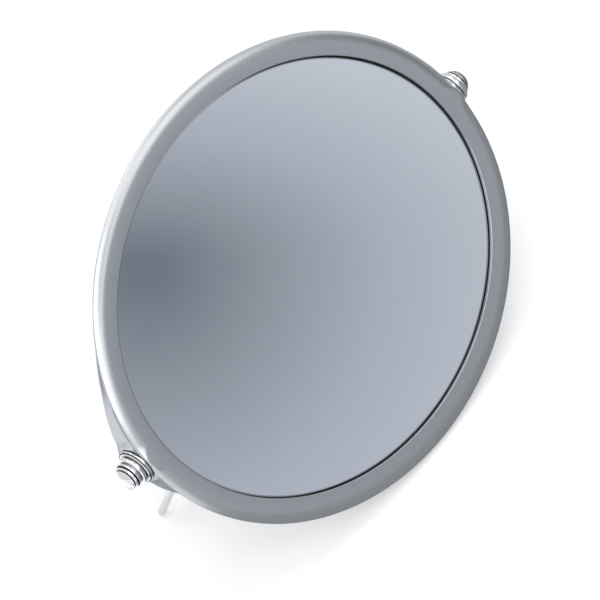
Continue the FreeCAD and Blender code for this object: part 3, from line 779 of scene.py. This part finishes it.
def setOut(name, mesh, kind, sizes, material):
    # places copies of a mesh on an oval of points or on a grid of points, as one plain mesh
    source = bpy.data.objects.new(name + "Source", mesh)
    bpy.context.scene.collection.objects.link(source)
    tree = bpy.data.node_groups.new(name + "Nodes", "GeometryNodeTree")
    tree.interface.new_socket("Geometry", in_out="OUTPUT", socket_type="NodeSocketGeometry")
    sockets = {}
    for key, value in sizes.items():
        whole = isinstance(value, int)
        sockets[key] = tree.interface.new_socket(key, in_out="INPUT",
                                                 socket_type="NodeSocketInt" if whole else "NodeSocketFloat")
    add = tree.nodes.new
    link = tree.links.new
    given = add("NodeGroupInput")
    result = add("NodeGroupOutput")
    spread = add("GeometryNodeSetPosition")
    if kind == "oval":
        points = add("GeometryNodeMeshCircle")
        points.inputs["Radius"].default_value = 1.0
        link(given.outputs["count"], points.inputs["Vertices"])
        turn = add("GeometryNodeTransform")
        turn.inputs["Rotation"].default_value = (0, 0, math.radians(shell["screwFirst"]))
        link(points.outputs["Mesh"], turn.inputs["Geometry"])
        link(turn.outputs["Geometry"], spread.inputs["Geometry"])
    else:
        points = add("GeometryNodeMeshGrid")
        for key in ("Size X", "Size Y"):
            points.inputs[key].default_value = 2.0
        for key in ("Vertices X", "Vertices Y"):
            link(given.outputs["count"], points.inputs[key])
        link(points.outputs["Mesh"], spread.inputs["Geometry"])
    where = add("GeometryNodeInputPosition")
    reach = add("ShaderNodeCombineXYZ")
    link(given.outputs["along"], reach.inputs["X"])
    link(given.outputs["across"], reach.inputs["Y"])
    scaled = add("ShaderNodeVectorMath")
    scaled.operation = "MULTIPLY"
    link(where.outputs[0], scaled.inputs[0])
    link(reach.outputs[0], scaled.inputs[1])
    drop = add("ShaderNodeCombineXYZ")
    link(given.outputs["depth"], drop.inputs["Z"])
    lowered = add("ShaderNodeVectorMath")
    lowered.operation = "ADD"
    link(scaled.outputs[0], lowered.inputs[0])
    link(drop.outputs[0], lowered.inputs[1])
    link(lowered.outputs[0], spread.inputs["Position"])
    model = add("GeometryNodeObjectInfo")
    model.inputs["Object"].default_value = source
    twist = add("FunctionNodeRandomValue")
    twist.data_type = "FLOAT"
    twist.inputs[3].default_value = twistSetting["most"]
    twist.inputs["Seed"].default_value = twistSetting["seed"]
    spin = add("ShaderNodeCombineXYZ")
    link(twist.outputs[1], spin.inputs["Z"])
    copies = add("GeometryNodeInstanceOnPoints")
    link(spread.outputs["Geometry"], copies.inputs["Points"])
    link(model.outputs["Geometry"], copies.inputs["Instance"])
    link(spin.outputs[0], copies.inputs["Rotation"])
    real = add("GeometryNodeRealizeInstances")
    link(copies.outputs[0], real.inputs[0])
    coat = add("GeometryNodeSetMaterial")
    coat.inputs["Material"].default_value = material
    link(real.outputs[0], coat.inputs["Geometry"])
    link(coat.outputs[0], result.inputs[0])
    carrier = bpy.data.objects.new(name + "Carrier", bpy.data.meshes.new(name + "Empty"))
    bpy.context.scene.collection.objects.link(carrier)
    layout = carrier.modifiers.new("layout", "NODES")
    layout.node_group = tree
    for key, value in sizes.items():
        layout[sockets[key].identifier] = value
    bpy.context.view_layer.update()
    made = bpy.data.meshes.new_from_object(carrier.evaluated_get(bpy.context.evaluated_depsgraph_get()))
    carrier.modifiers.remove(layout)
    bpy.data.objects.remove(carrier)
    bpy.data.objects.remove(source)
    return made


screwSizes = {"count": shell["screws"], "along": shell["screwLong"], "across": shell["screwWide"],
              "depth": screw["seat"]}
screwMesh = setOut("screw", screwShape(), "oval", screwSizes, finishes["plain_steel"])
screwMesh.transform(headFrame)
piece("shellScrews", screwMesh, "head", "plain_steel", ["shell_screws"])
bumperSizes = {"count": 2, "along": bumper["x"], "across": bumper["y"], "depth": bumper["face"]}
bumperMesh = setOut("bumper", bumperShape(), "grid", bumperSizes, finishes["grey_rubber"])
bumperMesh.transform(headFrame)
piece("backBumpers", bumperMesh, "head", "grey_rubber", ["back_bumpers"])

# solids that keep their own shape
ownShape = {"stud_right": "plain_steel", "stud_left": "plain_steel", "glass_tape": "black_foam",
            "glass_backing": "backing_board", "friction_washers": "white_nylon",
            "spring_washers": "plain_steel"}
for node, slotName in ownShape.items():
    kept = frame["nodes"][node].data
    kept.materials.clear()
    kept.materials.append(finishes[slotName])
print("pieces done")


# stage: the camera stands as the photo's did, with the lip's middle at a given pixel
view = {
    "right": (0.5813, -0.7477, -0.3213), "up": (0.6987, 0.2563, 0.6680),
    "pxPerMm": 2.516, "lipPixel": (306.0, 276.4), "frame": 600, "away": 6.0, "sensor": 36,
}


def plate(name, width, height, matrix, material):
    mesh = bpy.data.meshes.new(name)
    w = width / 2
    h = height / 2
    mesh.from_pydata([(-w, -h, 0), (w, -h, 0), (w, h, 0), (-w, h, 0)], [], [(0, 1, 2, 3)])
    mesh.materials.append(material)
    made = bpy.data.objects.new(name, mesh)
    bpy.context.scene.collection.objects.link(made)
    made.matrix_world = matrix
    return made


def axes(right, up, back, place):
    turn = Matrix((right, up, back)).transposed().to_4x4()
    return Matrix.Translation(place) @ turn


right = Vector(view["right"]).normalized()
up = Vector(view["up"]).normalized()
up = (up - right * up.dot(right)).normalized()
back = right.cross(up)
lip = headFrame @ Vector((0, 0, bezel["high"]))
shiftPx = Vector((view["frame"] / 2 - view["lipPixel"][0], view["lipPixel"][1] - view["frame"] / 2))
aim = lip + (right * shiftPx.x + up * shiftPx.y) * mm / view["pxPerMm"]
camera = bpy.data.cameras.new("photoCamera")
camera.sensor_width = view["sensor"]
camera.lens = view["sensor"] * view["away"] * view["pxPerMm"] / (view["frame"] * mm)
cameraObject = bpy.data.objects.new("photoCamera", camera)
cameraObject.matrix_world = axes(right, up, back, aim + back * view["away"])
bpy.context.scene.collection.objects.link(cameraObject)
bpy.context.scene.camera = cameraObject


floor = {"wide": 8, "grain": 60.0, "dark": (0.90, 0.90, 0.90, 1), "pale": (0.93, 0.93, 0.93, 1), "glow": 0.28}


def paleFloor():
    # a little glow lifts the floor to white where it is seen, and leaves the shadow on it
    finish = Finish("paleFloor", "ShaderNodeBsdfDiffuse")
    grain = finish.noise(floor["grain"])
    finish.feed(finish.shader, {"Color": finish.tint(grain, floor["dark"], floor["pale"])})
    glow = finish.node("ShaderNodeEmission", {}, {"Color": (1, 1, 1, 1), "Strength": floor["glow"]})
    seen = finish.node("ShaderNodeLightPath", out="Is Camera Ray")
    glossy = finish.node("ShaderNodeLightPath", out="Is Glossy Ray")
    through = finish.node("ShaderNodeLightPath", out="Is Transmission Ray")
    lit = finish.node("ShaderNodeMath", {"operation": "MINIMUM"}, {0: seen + glossy + through, 1: 1.0})
    plain = Signal(finish, finish.shader.outputs[0])
    glowing = finish.node("ShaderNodeAddShader", {}, {0: plain, 1: glow})
    mixed = finish.node("ShaderNodeMixShader", {}, {0: lit, 1: plain, 2: glowing})
    finish.tree.links.new(mixed.socket, finish.output.inputs["Surface"])
    return finish.material


plate("floor", floor["wide"], floor["wide"], Matrix.Identity(4), paleFloor())
faceOut = (headFrame.to_3x3() @ Vector((0, 0, 1))).normalized()


def mirroredWay(way):
    return way - faceOut * 2 * way.dot(faceOut)


def glossyOnly(made):
    for ray in ("visible_camera", "visible_diffuse", "visible_shadow", "visible_transmission"):
        setattr(made, ray, False)


# grey card that the glass shows: a soft dark spot, pale towards the upper left, and two round patches
# (middle, reach, tone): one that the glass shows from the front, and a dark one for the top of the frame
card = {"away": 0.7, "wide": 1.82, "high": 1.3, "aside": -0.05,
        "darkAt": (-0.019, 0.0055), "above": 1.8, "reach": 0.18,
        "greys": [(0.05, (0.18, 0.21, 0.24, 1)), (0.6, (0.45, 0.47, 0.525, 1)), (1.0, (0.58, 0.61, 0.66, 1))],
        "paleFrom": 0.25, "paleOver": 0.12, "slant": 0.5, "pale": (1.9, 1.9, 1.9, 1), "patchCore": 0.52,
        "patches": [((-0.60, 0.13), 0.24, (0.62, 0.65, 0.70, 1)),
                    ((0.26, 0.50), 0.40, (0.26, 0.28, 0.30, 1))]}


def studioCard():
    finish = Finish("studioCard", "ShaderNodeEmission")
    across, rise = finish.parts(finish.place())[:2]
    offX = across - card["darkAt"][0]
    climb = rise - card["darkAt"][1]
    over = finish.node("ShaderNodeMath", {"operation": "MAXIMUM"}, {0: climb, 1: 0.0})
    under = finish.node("ShaderNodeMath", {"operation": "MINIMUM"}, {0: climb, 1: 0.0})
    offY = over * card["above"] + under
    away = finish.root(offX * offX + offY * offY) * (1 / card["reach"])
    grey = finish.ramp(away, *card["greys"])
    beyond = rise * card["slant"] - across - card["paleFrom"]
    glow = finish.mask(beyond * (1 / card["paleOver"]), (0.0, 0), (1.0, 1))
    lit = finish.tint(glow, grey, card["pale"])
    for (atX, atY), reach, tone in card["patches"]:
        besideX = across - atX
        besideY = rise - atY
        beside = finish.root(besideX * besideX + besideY * besideY)
        patch = finish.mask(beside * (1 / reach), (card["patchCore"], 1), (1.0, 0))
        lit = finish.tint(patch, lit, tone)
    finish.feed(finish.shader, {"Color": lit, "Strength": 1.0})
    return finish.material


cardPlace = lip - mirroredWay(back) * card["away"] + mirroredWay(right) * card["aside"]
cardFrame = axes(mirroredWay(right), mirroredWay(up), -mirroredWay(back), cardPlace)
glossyOnly(plate("studioCard", card["wide"], card["high"], cardFrame, studioCard()))

# cards on the floor that the frame shows, as x, y and tone: grey in front and right, bright at the left
floorCards = {
    "frontCard": ((-0.16, 0.75), (-0.75, 0.02), (0.39, 0.395, 0.405, 1)),
    "rightCard": ((0.125, 0.75), (0.02, 0.40), (0.39, 0.395, 0.405, 1)),
    "leftCard": ((-0.90, -0.125), (0.02, 0.90), (1.45, 1.47, 1.5, 1)),
}
overFloor = 0.0008


def plainCard(name, tone):
    finish = Finish(name, "ShaderNodeEmission")
    finish.feed(finish.shader, {"Color": tone, "Strength": 1.0})
    return finish.material


for name, (across, deep, tone) in floorCards.items():
    middle = Matrix.Translation((sum(across) / 2, sum(deep) / 2, overFloor))
    glossyOnly(plate(name, across[1] - across[0], deep[1] - deep[0], middle, plainCard(name, tone)))

lamps = {
    "leftWindow": {"place": (-0.50, -0.66, 0.82), "target": (0, 0, 0.09), "size": (0.75, 0.95), "power": 5.0},
    "topWindow": {"place": (0.2, 0.2, 1.6), "target": (0, 0, 0.05), "size": (1.4, 1.4), "power": 7.5},
}
for name, setting in lamps.items():
    lamp = bpy.data.lights.new(name, "AREA")
    lamp.shape = "RECTANGLE"
    lamp.size = setting["size"][0]
    lamp.size_y = setting["size"][1]
    lamp.energy = setting["power"]
    lampObject = bpy.data.objects.new(name, lamp)
    bpy.context.scene.collection.objects.link(lampObject)
    place = Vector(setting["place"])
    aimed = (place - Vector(setting["target"])).to_track_quat("Z", "Y").to_matrix().to_4x4()
    lampObject.matrix_world = Matrix.Translation(place) @ aimed

# the world lights softly, and is white where it is seen, directly or in metal and glass
sky = {"colour": (0.97, 0.985, 1.0, 1), "strength": 0.55}
world = bpy.data.worlds.new("studioWorld")
bpy.context.scene.world = world
world.use_nodes = True
tree = world.node_tree
tree.nodes.clear()
rays = tree.nodes.new("ShaderNodeLightPath")
soft = tree.nodes.new("ShaderNodeBackground")
soft.inputs["Color"].default_value = sky["colour"]
soft.inputs["Strength"].default_value = sky["strength"]
white = tree.nodes.new("ShaderNodeBackground")
white.inputs["Color"].default_value = (1, 1, 1, 1)
firstSum = tree.nodes.new("ShaderNodeMath")
secondSum = tree.nodes.new("ShaderNodeMath")
secondSum.use_clamp = True
tree.links.new(rays.outputs["Is Camera Ray"], firstSum.inputs[0])
tree.links.new(rays.outputs["Is Glossy Ray"], firstSum.inputs[1])
tree.links.new(firstSum.outputs[0], secondSum.inputs[0])
tree.links.new(rays.outputs["Is Transmission Ray"], secondSum.inputs[1])
mixed = tree.nodes.new("ShaderNodeMixShader")
tree.links.new(secondSum.outputs[0], mixed.inputs[0])
tree.links.new(soft.outputs[0], mixed.inputs[1])
tree.links.new(white.outputs[0], mixed.inputs[2])
worldOut = tree.nodes.new("ShaderNodeOutputWorld")
tree.links.new(mixed.outputs[0], worldOut.inputs["Surface"])
bpy.context.scene.view_settings.view_transform = "Standard"
print("stage set")
